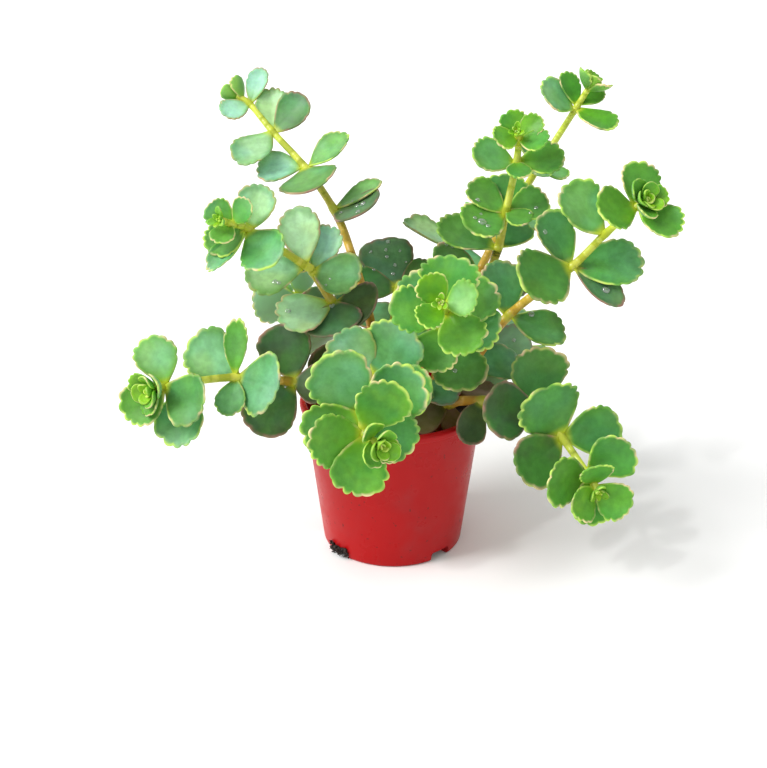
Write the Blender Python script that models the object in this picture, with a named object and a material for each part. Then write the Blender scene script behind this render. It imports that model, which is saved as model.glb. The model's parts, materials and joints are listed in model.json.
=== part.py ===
"""October daphne in a small red nursery pot, as solids.

The plant is a clump of arching leafy stems that stand in plain holes in the soil.
Each stem carries whorls of three round, fleshy, scalloped leaves and ends in a bud.
World frame: +Z up, the floor at Z = 0, the origin at the centre of the pot's underside.
The plant's best side faces -Y. Design numbers are millimetres, and MM turns them into metres.
"""

import math

import bmesh
import bpy
from mathutils import Matrix, Vector
from mathutils.bvhtree import BVHTree

MM = 0.001

# Pot
POT_HEIGHT = 46.5
POT_TOP_RADIUS = 27.0
POT_BASE_RADIUS = 21.5
POT_WALL = 1.0
POT_FLOOR = 1.2
LIP_RADIUS = 28.2
LIP_HEIGHT = 2.6
POT_EDGE = 0.6
POT_SIDES = 40
DRAIN_COUNT = 4
DRAIN_FIRST_TURN = 222.0
DRAIN_WIDTH = 7.0
DRAIN_INNER_RADIUS = 17.0
DRAIN_HEIGHT = 3.0

# Soil
SOIL_TOP = 40.0
SOIL_GAP = 0.35
SOIL_SIDES = 24
SOIL_RINGS = 3
SOIL_RELIEF = 0.7
HOLE_DEPTH = 9.0
HOLE_CLEARANCE = 0.4
HOLE_SIDES = 8

# Stems
STEM_SIDES = 6
STEM_STEP = 7.0
STEM_BASE_RADIUS = 1.6
STEM_TIP_RADIUS = 0.9

# Leaves
LEAF_EDGE = 0.7
LEAF_MIDDLE = 1.3
LEAF_TAPER = 0.75
LEAF_FULLNESS = 0.5
SCALLOP_DEPTH = 0.06
LARGE_LEAF = 9.0
SMALL_LEAF = 5.5
BUD_PITCH = 42.0
HEART_LENGTH = 0.55
HEART_RADIUS = 0.3
HEART_SIDES = 6
CLEARANCE = 0.2
STAGGER = 0.45
SLIVERS = (0.003, 0.001, 0.0003, 0.0001)

# The clump is laid out upright round its own pivot. In the pot it leans by a turn about the line
# of sight, and its pivot stands at a place of its own.
VIEW = Vector((0.0, -0.9135, 0.4067))
LEAN = Matrix.Rotation(math.radians(-10.0), 3, VIEW)
PIVOT = Vector((0.0, 0.0, 36.5))
PIVOT_PLACE = Vector((3.0, 0.0, 36.0))
RIGHT = LEAN @ Vector((1.0, 0.0, 0.0))
LIGHT = LEAN @ Vector((0.0, -0.8, 0.6))

# Small turns and tilts that a leaf tries, in this order, to stand clear of all that is near it:
# degrees round the stem, degrees of pitch, share of its length.
NUDGES = (
    (0, 0, 1.0),
    (0, 8, 1.0),
    (0, -8, 1.0),
    (8, 0, 1.0),
    (-8, 0, 1.0),
    (0, 16, 1.0),
    (0, -16, 1.0),
    (16, 0, 1.0),
    (-16, 0, 1.0),
    (10, 12, 0.95),
    (-10, 12, 0.95),
    (10, -12, 0.95),
    (-10, -12, 0.95),
    (0, 24, 0.9),
    (0, -24, 0.9),
    (24, 0, 0.9),
    (-24, 0, 0.9),
    (0, 0, 0.8),
    (20, 20, 0.8),
    (-20, 20, 0.8),
    (20, -20, 0.8),
    (-20, -20, 0.8),
    (0, 36, 0.7),
    (0, -36, 0.7),
)

# Each stem: its name, the soil point it rises from, the bends of its route, its whorls from the
# lowest up, its tip, and the size of its bud. A whorl is a point on the route, the share by which
# its leaves turn from the stem's direction to the light, their pitch from that axis, and its
# leaves as (turn, length, width), with a pitch of its own after them for a few.
# Turn 0 points right, to +X, and 90 points up.
STEMS = (
    (
        "stem_front",
        (-2, -9),
        ((-8, -14, 54),),
        (
            ((-11, -26, 63), 0.5, 80, ((142, 17, 17), (68, 18, 19), (-12, 18, 17))),
            ((-12, -41, 59), 0.5, 82, ((133, 20, 20), (46, 20, 18), (-24, 17, 16), (212, 18, 18))),
            ((-11, -49, 57), 0.4, 76, ((72, 17, 17), (194, 17, 16), (-92, 17, 17))),
        ),
        (-6, -57, 58.5),
        6.5,
    ),
    (
        "stem_centre",
        (5, -3),
        ((2, -4, 47),),
        (
            ((2.5, -6, 57), 0.3, 90, ((-45, 14, 13), (200, 13, 12), (-100, 12, 12))),
            ((6, -9, 71), 0.5, 84, ((-55, 19, 18), (205, 17, 16), (75, 17, 17))),
            ((6, -18, 79), 0.3, 82, ((6, 16, 17), (258, 14, 15), (140, 18, 16), (48, 18, 15))),
            ((5, -26, 86), 0.2, 76, ((92, 16, 18), (192, 16, 15), (-50, 16, 15))),
            ((4, -32, 90), 0.2, 66, ((135, 10, 10), (235, 10, 9), (18, 11, 11))),
        ),
        (3, -36, 92),
        3.6,
    ),
    (
        "stem_low_right",
        (13, -9),
        (),
        (
            ((12, -10, 52), 0.6, 90, ((215, 15, 13), (-70, 9, 8), (110, 10, 8))),
            ((21, -15, 57), 0.6, 85, ((250, 15, 11), (-20, 13, 13))),
            ((36, -21, 61), 0.7, 82, ((105, 17, 20), (198, 19, 18))),
            ((43.5, -28, 56), 0.7, 80, ((130, 17, 21), (22, 17, 16), (222, 18, 17))),
            ((52, -34, 49), 0.6, 74, ((52, 15, 16), (190, 16, 16), (-82, 14, 14))),
            ((54, -37, 47.5), 0.5, 62, ((110, 9, 11), (-28, 12, 12), (222, 12, 11))),
        ),
        (55, -39, 47),
        4.5,
    ),
    (
        "stem_low_left",
        (-9, -7),
        ((-20, -10, 50),),
        (
            ((-34, -14, 52), 0.75, 82, ((112, 18, 17), (248, 19, 18), (0, 13, 13))),
            ((-49, -24, 55), 0.7, 80, ((150, 18, 17), (-8, 15, 20), (275, 12, 10), (92, 17, 8))),
            ((-62, -31, 54), 0.7, 84, ((-85, 19, 16),)),
            ((-67, -36, 54), 0.6, 76, ((112, 15, 14), (232, 14, 14), (-14, 17, 16))),
        ),
        (-70, -40, 54),
        6.5,
    ),
    (
        "stem_left",
        (-6, 0),
        ((-16, -2, 62),),
        (
            ((-27, -2, 74), 0.6, 84, ((-15, 15, 17), (222, 18, 17), (-70, 15, 18))),
            ((-34, -4, 83), 0.7, 82, ((72, 15, 11), (-8, 16, 15), (160, 10, 10))),
            ((-36, -6, 85), 0.7, 80, ((107, 18, 13), (208, 18, 14))),
            ((-52, -16, 96), 0.6, 78, ((78, 13, 13), (-45, 17, 15), (222, 13, 12), (246, 17, 7))),
            ((-56, -20, 98), 0.6, 68, ((152, 9, 9), (48, 9, 8), (258, 8, 8))),
        ),
        (-59, -24, 100),
        4.5,
    ),
    (
        "stem_right",
        (15, -2),
        (),
        (
            ((16, -3, 61), 0.5, 88, ((30, 17, 14), (155, 13, 12))),
            ((24, -4, 80), 0.6, 86, ((115, 17, 16), (-10, 18, 13))),
            ((38, -6, 98), 0.7, 80, ((128, 18, 14), (14, 21, 16), (220, 21, 20), (-30, 18, 10))),
            ((45, -8, 110), 0.7, 80, ((145, 18, 17),)),
            ((51, -12, 120), 0.6, 76, ((94, 13, 13), (210, 15, 14), (-30, 14, 12))),
        ),
        (52.5, -15, 123),
        6.0,
    ),
    (
        "stem_right_inner",
        (10, 4),
        ((11, 6, 66),),
        (
            ((16, 7, 84), 0.5, 84, ((170, 19, 16), (20, 14, 14))),
            ((18, 8, 96), 0.5, 84, ((178, 20, 15), (60, 13, 13))),
            (
                (18, 8, 106),
                0.6,
                80,
                ((97, 14, 14), (222, 16, 15), (155, 14, 12), (20, 13, 14), (-40, 9, 9)),
            ),
            ((18, 6, 122), 0.5, 78, ((186, 14, 13), (4, 14, 13), (-80, 9, 8))),
            ((17, 3, 129), 0.6, 66, ((118, 9, 9), (48, 9, 8), (-18, 10, 9), (212, 9, 9))),
        ),
        (16, 0, 132),
        3.6,
    ),
    (
        "stem_tall_right",
        (11, 11),
        ((11, 17, 65), (15, 22, 84)),
        (
            ((21, 28, 101), 0.5, 80, ((180, 14, 13), (60, 14, 13), (-40, 14, 13))),
            ((27, 35, 115), 0.5, 80, ((120, 13, 12), (-30, 10, 10), (250, 13, 12))),
            ((35, 42, 133), 0.6, 76, ((182, 14, 14), (-40, 15, 12), (122, 12, 8), (42, 10, 6))),
        ),
        (37.5, 42, 140),
        8.0,
    ),
    (
        "stem_back_left",
        (-4, 9),
        ((-15, 11, 64), (-25, 15, 85)),
        (
            ((-32, 20, 95), 0.5, 84, ((-30, 17, 18), (18, 17, 12))),
            ((-43, 28, 104), 0.6, 82, ((30, 17, 13), (292, 18, 20), (190, 15, 15))),
            ((-55, 36, 111), 0.8, 80, ((50, 15, 13), (102, 15, 11), (246, 17, 13))),
            ((-64, 42, 117), 0.8, 76, ((78, 12, 8), (226, 10, 10))),
        ),
        (-69, 45, 118),
        6.0,
    ),
    (
        "stem_back_centre",
        (1, 6),
        ((-4, 8, 52),),
        (
            ((-8, 13, 62), 0.4, 80, ((150, 18, 17), (30, 16, 16), (270, 15, 15))),
            ((-9, 22, 73), 0.8, 84, ((118, 18, 19), (190, 15, 13), (30, 14, 14))),
        ),
        (-9, 29, 76),
        5.0,
    ),
    (
        "stem_back",
        (4, 13),
        ((1, 20, 56), (4, 28, 73)),
        (
            ((8, 33, 87), 0.4, 88, ((182, 20, 13), (60, 14, 14), (-60, 14, 13))),
        ),
        (10, 36, 97),
        5.0,
    ),
    (
        "stem_low_back",
        (8, 18),
        ((6, 22, 56),),
        (
            ((9, 36, 57), 0.0, 84, ((90, 17, 17), (210, 17, 16), (-30, 16, 16))),
            ((10, 51, 57), 0.0, 78, ((30, 16, 16), (150, 16, 16), (-90, 15, 15))),
        ),
        (10, 58, 54),
        5.4,
    ),
    (
        "stem_low_back_right",
        (17, 7),
        ((17, 14, 55),),
        (
            ((23, 25, 53), 0.0, 84, ((80, 16, 16), (200, 16, 16), (-40, 16, 16))),
            ((32, 40, 52), 0.0, 78, ((20, 15, 15), (140, 15, 15), (-100, 15, 15))),
        ),
        (36, 47, 49),
        5.4,
    ),
    (
        "stem_low_back_left",
        (-11, 10),
        ((-20, 17, 50),),
        (
            ((-29, 26, 57), 0.0, 84, ((100, 16, 16), (220, 16, 16), (-20, 16, 16))),
            ((-40, 39, 58), 0.0, 78, ((40, 16, 16), (160, 16, 16), (-80, 15, 15))),
        ),
        (-45, 46, 56),
        5.4,
    ),
)

LEAF_GREEN = (0.17, 0.46, 0.17)
POT_RED = (0.56, 0.035, 0.03)
SOIL_BROWN = (0.025, 0.018, 0.014)


def clear_scene():
    for obj in list(bpy.data.objects):
        bpy.data.objects.remove(obj)


def make_material(name, colour, roughness):
    material = bpy.data.materials.new(name)
    material.use_nodes = True
    shader = material.node_tree.nodes["Principled BSDF"]
    shader.inputs["Base Color"].default_value = (*colour, 1.0)
    shader.inputs["Roughness"].default_value = roughness
    shader.inputs["Metallic"].default_value = 0.0
    return material


def object_from(bm, name):
    """A mesh object in metres from a bmesh in millimetres."""
    bmesh.ops.recalc_face_normals(bm, faces=bm.faces)
    bmesh.ops.scale(bm, vec=(MM, MM, MM), verts=bm.verts)
    mesh = bpy.data.meshes.new(name)
    bm.to_mesh(mesh)
    bm.free()
    obj = bpy.data.objects.new(name, mesh)
    bpy.context.scene.collection.objects.link(obj)
    return obj


def curve_point(points, index, share):
    """A point of the smooth curve through the points, between two neighbours."""
    before = points[max(index - 1, 0)]
    start = points[index]
    end = points[index + 1]
    after = points[min(index + 2, len(points) - 1)]
    square = share * share
    cube = square * share
    return 0.5 * (
        2 * start
        + (end - before) * share
        + (2 * before - 5 * start + 4 * end - after) * square
        + (3 * start - before - 3 * end + after) * cube
    )


def placed(point):
    """Where a point of the clump's layout stands in the pot."""
    return PIVOT_PLACE + LEAN @ (Vector(point) - PIVOT)


def stem_route(stem):
    """The points of a stem from its foot in the soil to its bud, and the index of each whorl."""
    _, foot, bends, whorls, tip, _ = stem
    x, y = foot
    knots = [
        Vector((x, y, SOIL_TOP - HOLE_DEPTH + HOLE_CLEARANCE)),
        Vector((x, y, SOIL_TOP + 1.5)),
    ]
    knots += [placed(bend) for bend in bends]
    first_whorl = len(knots)
    knots += [placed(whorl[0]) for whorl in whorls]
    knots.append(placed(tip))
    route = [knots[0]]
    whorl_at = []
    for index in range(len(knots) - 1):
        if index >= first_whorl:
            whorl_at.append(len(route) - 1)
        length = (knots[index + 1] - knots[index]).length
        steps = 1 if index == 0 else max(1, round(length / STEM_STEP))
        for step in range(1, steps + 1):
            route.append(curve_point(knots, index, step / steps))
    return route, whorl_at


def direction_at(route, index):
    before = route[max(index - 1, 0)]
    after = route[min(index + 1, len(route) - 1)]
    return (after - before).normalized()


def stem_mesh(route):
    """A tapered tube along the route with closed ends."""
    bm = bmesh.new()
    rings = []
    across = Vector((1, 0, 0))
    last = len(route) - 1
    for index, point in enumerate(route):
        along = direction_at(route, index)
        across = (across - along * across.dot(along)).normalized()
        beside = along.cross(across)
        radius = STEM_BASE_RADIUS + (STEM_TIP_RADIUS - STEM_BASE_RADIUS) * index / last
        ring = []
        for side in range(STEM_SIDES):
            turn = 2 * math.pi * side / STEM_SIDES
            out = across * math.cos(turn) + beside * math.sin(turn)
            ring.append(bm.verts.new(point + out * radius))
        rings.append(ring)
    for lower, upper in zip(rings, rings[1:]):
        for side in range(STEM_SIDES):
            after = (side + 1) % STEM_SIDES
            bm.faces.new((lower[side], lower[after], upper[after], upper[side]))
    bm.faces.new(rings[0])
    bm.faces.new(rings[-1])
    bmesh.ops.triangulate(bm, faces=bm.faces)
    return bm


def bud_heart(route, size):
    """The closed middle of a bud: a short pointed knob on the stem's tip."""
    along = direction_at(route, len(route) - 1)
    first = along.orthogonal().normalized()
    second = along.cross(first)
    bm = bmesh.new()
    foot = bm.verts.new(route[-1] - along * 2)
    peak = bm.verts.new(route[-1] + along * HEART_LENGTH * size)
    middle = route[-1] + along * HEART_LENGTH * 0.35 * size
    ring = []
    for side in range(HEART_SIDES):
        turn = 2 * math.pi * side / HEART_SIDES
        out = first * math.cos(turn) + second * math.sin(turn)
        ring.append(bm.verts.new(middle + out * HEART_RADIUS * size))
    for side in range(HEART_SIDES):
        after = (side + 1) % HEART_SIDES
        bm.faces.new((foot, ring[after], ring[side]))
        bm.faces.new((peak, ring[side], ring[after]))
    return bm


def leaf_axes(axis, turn, pitch):
    """The leaf's direction from the stem, its upper face's normal, and its width direction."""
    first = (RIGHT - axis * RIGHT.dot(axis)).normalized()
    second = axis.cross(first)
    turn = math.radians(turn)
    pitch = math.radians(pitch)
    out = first * math.cos(turn) + second * math.sin(turn)
    ahead = axis * math.cos(pitch) + out * math.sin(pitch)
    face = axis * math.sin(pitch) - out * math.cos(pitch)
    return ahead, face, face.cross(ahead)


def outline_turns(length):
    """The angles round a leaf's edge, from its tip: crests and notches, flanks, and the root."""
    if length >= LARGE_LEAF:
        half = [0, 18, 36, 54, 72, 90, 128]
    elif length >= SMALL_LEAF:
        half = [0, 22, 44, 66, 120]
    else:
        half = [0, 55, 110]
    return half + [180] + [-turn for turn in reversed(half[1:])]


def leaf_point(length, width, turn, grow=0.0):
    """A point of the leaf's edge as (along, across), with the scallops."""
    angle = math.radians(turn)
    back = (1 - math.cos(angle)) / 2
    along = length * (1 - back)
    across = width * LEAF_FULLNESS * math.sin(angle) * (1 - LEAF_TAPER * back**2)
    across /= 1 - LEAF_TAPER * 0.14
    spacing = 36 if length >= LARGE_LEAF else 44
    notch = 0.5 - 0.5 * math.cos(math.radians(360 * turn / spacing))
    if abs(turn) > 2.5 * spacing or length < SMALL_LEAF:
        notch = 0.0
    middle = 0.5 * length
    scale = 1 - SCALLOP_DEPTH * notch + grow / middle
    return middle + (along - middle) * (scale if turn != 180 else 1.0), across * scale


def leaf_lift(length, width, along, across, cup):
    """How far the blade rises towards the stem's tip: the sides and the far end curl up."""
    side = across / (0.5 * width)
    end = max(0.0, along / length - 0.35) / 0.65
    return length * cup * (side * side + 0.7 * end * end)


def leaf_shape(root, axis, turn, pitch, length, width, cup, grow=0.0):
    """The leaf as points and faces, split alike on its two sides."""
    ahead, face, side = leaf_axes(axis, turn, pitch)
    turns = outline_turns(length)
    edge_half = LEAF_EDGE / 2 + grow
    middle_half = LEAF_MIDDLE / 2 + grow
    upper = []
    lower = []
    for edge_turn in turns:
        x, y = leaf_point(length, width, edge_turn, grow)
        spot = root + ahead * x + side * y + face * leaf_lift(length, width, x, y, cup)
        upper.append(spot + face * edge_half)
        lower.append(spot - face * edge_half)
    x = 0.5 * length
    spot = root + ahead * x + face * leaf_lift(length, width, x, 0, cup)
    count = len(turns)
    points = upper + lower + [spot + face * middle_half, spot - face * middle_half]
    faces = []
    for index in range(count):
        after = (index + 1) % count
        faces.append((index, after, 2 * count))
        faces.append((count + after, count + index, 2 * count + 1))
        faces.append((count + index, after, index))
        faces.append((count + index, count + after, after))
    return points, faces


def bud_leaves(route, size):
    """The small leaves that open round the heart of a bud."""
    along = direction_at(route, len(route) - 1)
    root = route[-1] - along * 1.2
    pitch = BUD_PITCH + 2 * size
    return [(root, along, 90 + 120 * step, pitch, size, size, 0.22) for step in range(3)]


def stem_leaves(stem, route, whorl_at):
    """Every leaf of a stem as (root, whorl axis, turn, pitch, length, width, cup)."""
    leaves = []
    for index, whorl in zip(whorl_at, stem[3]):
        _, share, pitch, blades = whorl
        axis = direction_at(route, index).lerp(LIGHT, share).normalized()
        along = direction_at(route, index)
        for step, (turn, length, width, *own_pitch) in enumerate(blades):
            root = route[index] + along * STAGGER * (step - 1)
            blade_pitch = own_pitch[0] if own_pitch else pitch
            leaves.append((root, axis, turn, blade_pitch, length, width, 0.10))
    return leaves + bud_leaves(route, stem[5])


def settle(leaf, others):
    """The leaf, nudged to the first pose that stands clear of all the others, or None."""
    root, axis, turn, pitch, length, width, cup = leaf
    for more_turn, more_pitch, share in NUDGES:
        size = (length * share, width * share)
        tried = (root, axis, turn + more_turn, pitch + more_pitch, *size, cup)
        tree = BVHTree.FromPolygons(*leaf_shape(*tried, CLEARANCE))
        if not any(tree.overlap(other) for other in others):
            return tried
    return None


def tree_of(bm):
    return BVHTree.FromBMesh(bm)


def tree_of_object(obj):
    """The surface of an object, in millimetres."""
    points = [vert.co / MM for vert in obj.data.vertices]
    return BVHTree.FromPolygons(points, [face.vertices[:] for face in obj.data.polygons])


def plan_plant(potting):
    """Each stem's name, route, settled leaves and bud size, in the order of STEMS."""
    routes = [stem_route(stem) for stem in STEMS]
    tubes = []
    for route, _ in routes:
        bm = stem_mesh(route)
        tubes.append(tree_of(bm))
        bm.free()
    taken = [[] for _ in STEMS]
    plan = []
    for number, (stem, (route, whorl_at)) in enumerate(zip(STEMS, routes)):
        others = potting + [tube for index, tube in enumerate(tubes) if index != number]
        for index in range(number):
            others += taken[index]
        settled = []
        for leaf in stem_leaves(stem, route, whorl_at):
            found = settle(leaf, others)
            if found is None:
                print("left out", stem[0], leaf[2:5])
                continue
            settled.append(found)
            taken[number].append(BVHTree.FromPolygons(*leaf_shape(*found, CLEARANCE)))
        plan.append((stem[0], route, settled, stem[5]))
    return plan


def without_slivers(bm):
    """A copy of the closed mesh without slivers: the coarsest clean-up that keeps it closed."""
    for length in SLIVERS:
        tried = bm.copy()
        bmesh.ops.dissolve_degenerate(tried, dist=length * MM, edges=tried.edges)
        bmesh.ops.triangulate(tried, faces=tried.faces)
        if all(edge.is_manifold for edge in tried.edges):
            return tried
        tried.free()
    return bm.copy()


def keep_outer_skin(mesh):
    """Fills any hollow that the union sealed and drops loose scraps and slivers."""
    bm = bmesh.new()
    bm.from_mesh(mesh)
    waiting = set(bm.verts)
    islands = []
    while waiting:
        island = [waiting.pop()]
        for vert in island:
            for edge in vert.link_edges:
                other = edge.other_vert(vert)
                if other in waiting:
                    waiting.remove(other)
                    island.append(other)
        islands.append(island)
    islands.sort(key=len)
    scraps = [vert for island in islands[:-1] for vert in island]
    bmesh.ops.delete(bm, geom=scraps, context="VERTS")
    bmesh.ops.triangulate(bm, faces=bm.faces)
    clean = without_slivers(bm)
    clean.to_mesh(mesh)
    clean.free()
    bm.free()


def union_of(base, pieces, name):
    """Fuses the pieces into the base with one Boolean union and removes them."""
    collection = bpy.data.collections.new(name + "_pieces")
    bpy.context.scene.collection.children.link(collection)
    for piece in pieces:
        bpy.context.scene.collection.objects.unlink(piece)
        collection.objects.link(piece)
    union = base.modifiers.new("union", "BOOLEAN")
    union.operation = "UNION"
    union.operand_type = "COLLECTION"
    union.solver = "MANIFOLD"
    union.collection = collection
    graph = bpy.context.evaluated_depsgraph_get()
    mesh = bpy.data.meshes.new_from_object(base.evaluated_get(graph))
    keep_outer_skin(mesh)
    base.modifiers.clear()
    base.data = mesh
    for piece in pieces:
        bpy.data.objects.remove(piece)
    bpy.data.collections.remove(collection)


def build_stem(name, route, leaves, bud_size):
    base = object_from(stem_mesh(route), name)
    pieces = [object_from(bud_heart(route, bud_size), name + "_heart")]
    for leaf in leaves:
        points, faces = leaf_shape(*leaf)
        bm = bmesh.new()
        verts = [bm.verts.new(point) for point in points]
        for face in faces:
            bm.faces.new([verts[index] for index in face])
        pieces.append(object_from(bm, name + "_leaf"))
    union_of(base, pieces, name)
    base.data.materials.clear()
    base.data.materials.append(make_material(name, LEAF_GREEN, 0.45))
    return base


def difference(target, cutters):
    """Cuts each cutter from the target and removes the cutters."""
    for cutter in cutters:
        cut = target.modifiers.new(cutter.name, "BOOLEAN")
        cut.operation = "DIFFERENCE"
        cut.object = cutter
    graph = bpy.context.evaluated_depsgraph_get()
    mesh = bpy.data.meshes.new_from_object(target.evaluated_get(graph))
    target.modifiers.clear()
    target.data = mesh
    for cutter in cutters:
        bpy.data.objects.remove(cutter)


def smooth_round(obj, degrees=40):
    obj.data.shade_smooth()
    obj.data.set_sharp_from_angle(angle=math.radians(degrees))


def pot_profile():
    """The pot's section as (radius, height), up the outside, over the lip and down the inside."""
    inner_top = POT_TOP_RADIUS - POT_WALL
    inner_base = POT_BASE_RADIUS - POT_WALL
    under_lip = POT_HEIGHT - LIP_HEIGHT
    return [
        (0.0, 0.0),
        (POT_BASE_RADIUS - POT_EDGE, 0.0),
        (POT_BASE_RADIUS, POT_EDGE),
        (POT_TOP_RADIUS - 0.2, under_lip),
        (LIP_RADIUS - 0.3, under_lip + 0.3),
        (LIP_RADIUS, POT_HEIGHT - 0.6),
        (LIP_RADIUS - 0.5, POT_HEIGHT),
        (inner_top + 0.4, POT_HEIGHT),
        (inner_top, POT_HEIGHT - 0.5),
        (inner_base, POT_FLOOR + 0.5),
        (inner_base - 0.5, POT_FLOOR),
        (0.0, POT_FLOOR),
    ]


def build_pot():
    """The thin-walled pot, with drain slots round its bottom corner."""
    bm = bmesh.new()
    verts = [bm.verts.new((radius, 0.0, height)) for radius, height in pot_profile()]
    edges = [bm.edges.new(pair) for pair in zip(verts, verts[1:])]
    bmesh.ops.spin(
        bm,
        geom=verts + edges,
        cent=(0, 0, 0),
        axis=(0, 0, 1),
        angle=2 * math.pi,
        steps=POT_SIDES,
        use_merge=True,
    )
    bmesh.ops.remove_doubles(bm, verts=bm.verts, dist=0.001)
    pot = object_from(bm, "pot")
    reach = POT_BASE_RADIUS + 4.0 - DRAIN_INNER_RADIUS
    slots = []
    for index in range(DRAIN_COUNT):
        turn = math.radians(DRAIN_FIRST_TURN + 360.0 * index / DRAIN_COUNT)
        bm = bmesh.new()
        bmesh.ops.create_cube(bm, size=1.0)
        bmesh.ops.scale(bm, vec=(reach, DRAIN_WIDTH, 2 * DRAIN_HEIGHT), verts=bm.verts)
        bmesh.ops.translate(bm, vec=(DRAIN_INNER_RADIUS + reach / 2, 0, 0), verts=bm.verts)
        bmesh.ops.rotate(
            bm, cent=(0, 0, 0), matrix=Matrix.Rotation(turn, 3, "Z"), verts=bm.verts
        )
        slots.append(object_from(bm, f"drain_{index}"))
    difference(pot, slots)
    smooth_round(pot)
    pot.data.materials.clear()
    pot.data.materials.append(make_material("pot_red", POT_RED, 0.32))
    return pot


def soil_height(x, y):
    """The soil's top: a low mound with small lumps."""
    spread = math.hypot(x, y) / POT_TOP_RADIUS
    lumps = math.sin(0.9 * x + 0.4) * math.cos(0.8 * y - 0.7) + 0.6 * math.sin(0.5 * x + 1.3 * y)
    return SOIL_TOP + SOIL_RELIEF * (0.5 - spread * spread + 0.5 * lumps)


def pot_inner_radius(height):
    share = (height - POT_EDGE) / (POT_HEIGHT - LIP_HEIGHT - POT_EDGE)
    return POT_BASE_RADIUS - POT_WALL + share * (POT_TOP_RADIUS - POT_BASE_RADIUS - 0.2)


def build_soil():
    """The soil that fills the pot, with a plain hole for each stem."""
    bm = bmesh.new()
    floor = POT_FLOOR + SOIL_GAP
    wall_gap = SOIL_GAP + 0.15
    base_radius = pot_inner_radius(floor) - wall_gap - 0.3
    top_radius = pot_inner_radius(SOIL_TOP - 1.0) - wall_gap
    rings = []
    levels = [(base_radius, None)]
    levels += [(top_radius * (1 - step / SOIL_RINGS), step) for step in range(SOIL_RINGS)]
    for radius, step in levels:
        ring = []
        for side in range(SOIL_SIDES):
            turn = 2 * math.pi * side / SOIL_SIDES
            x = radius * math.cos(turn)
            y = radius * math.sin(turn)
            ring.append(bm.verts.new((x, y, floor if step is None else soil_height(x, y))))
        rings.append(ring)
    for outer, inner in zip(rings, rings[1:]):
        for side in range(SOIL_SIDES):
            after = (side + 1) % SOIL_SIDES
            bm.faces.new((outer[side], outer[after], inner[after], inner[side]))
    crown = bm.verts.new((0, 0, soil_height(0, 0)))
    for side in range(SOIL_SIDES):
        bm.faces.new((rings[-1][side], rings[-1][(side + 1) % SOIL_SIDES], crown))
    bm.faces.new(rings[0])
    bmesh.ops.triangulate(bm, faces=bm.faces)
    soil = object_from(bm, "soil")
    holes = []
    for stem in STEMS:
        x, y = stem[1]
        bm = bmesh.new()
        bmesh.ops.create_cone(
            bm,
            cap_ends=True,
            segments=HOLE_SIDES,
            radius1=STEM_BASE_RADIUS + HOLE_CLEARANCE,
            radius2=STEM_BASE_RADIUS + HOLE_CLEARANCE,
            depth=2 * HOLE_DEPTH,
        )
        bmesh.ops.translate(bm, vec=(x, y, SOIL_TOP), verts=bm.verts)
        holes.append(object_from(bm, stem[0] + "_hole"))
    difference(soil, holes)
    soil.data.materials.clear()
    soil.data.materials.append(make_material("soil_brown", SOIL_BROWN, 0.95))
    return soil


def main():
    clear_scene()
    potting = [tree_of_object(build_pot()), tree_of_object(build_soil())]
    for name, route, leaves, bud_size in plan_plant(potting):
        build_stem(name, route, leaves, bud_size)


if __name__ == "__main__":
    main()
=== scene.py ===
"""October daphne in a small red nursery pot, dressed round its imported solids.

The leafy stems, the soil and the pot take the places of their plain solids and keep their form.
The tables and the shape functions work in millimetres, as the part's source does, and MM turns
them into metres when a piece is finished.
"""

import json
import random
from math import atan2, cos, degrees, exp, hypot, pi, radians, sin, sqrt

import bmesh
import bpy
from bpy.props import FloatProperty, FloatVectorProperty, IntProperty, PointerProperty
from mathutils import Matrix, Vector, noise
from mathutils.bvhtree import BVHTree

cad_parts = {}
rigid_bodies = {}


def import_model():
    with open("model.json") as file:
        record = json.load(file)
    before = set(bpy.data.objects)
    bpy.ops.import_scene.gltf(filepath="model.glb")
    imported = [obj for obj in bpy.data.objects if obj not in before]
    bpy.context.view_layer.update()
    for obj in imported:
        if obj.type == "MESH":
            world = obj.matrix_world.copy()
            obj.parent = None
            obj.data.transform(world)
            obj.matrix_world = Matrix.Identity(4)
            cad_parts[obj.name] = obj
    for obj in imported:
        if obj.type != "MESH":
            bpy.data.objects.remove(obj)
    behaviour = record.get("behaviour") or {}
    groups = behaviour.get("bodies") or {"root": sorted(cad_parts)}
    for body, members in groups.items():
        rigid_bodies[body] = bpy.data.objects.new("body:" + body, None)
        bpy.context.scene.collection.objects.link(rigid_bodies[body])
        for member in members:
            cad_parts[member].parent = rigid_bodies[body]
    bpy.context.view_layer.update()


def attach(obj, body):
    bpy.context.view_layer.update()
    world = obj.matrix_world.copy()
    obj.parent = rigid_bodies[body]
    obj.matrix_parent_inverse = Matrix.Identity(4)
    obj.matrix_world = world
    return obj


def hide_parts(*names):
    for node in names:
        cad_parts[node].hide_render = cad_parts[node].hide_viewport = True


bl_info = {
    "name": "Potted October Daphne",
    "version": (1, 0, 0),
    "blender": (4, 5, 0),
    "location": "3D View > Sidebar > Daphne",
    "description": "Builds a potted october daphne round its packed solids",
    "category": "Add Mesh",
}

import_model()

MM = 0.001
BODY = "root"

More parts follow.
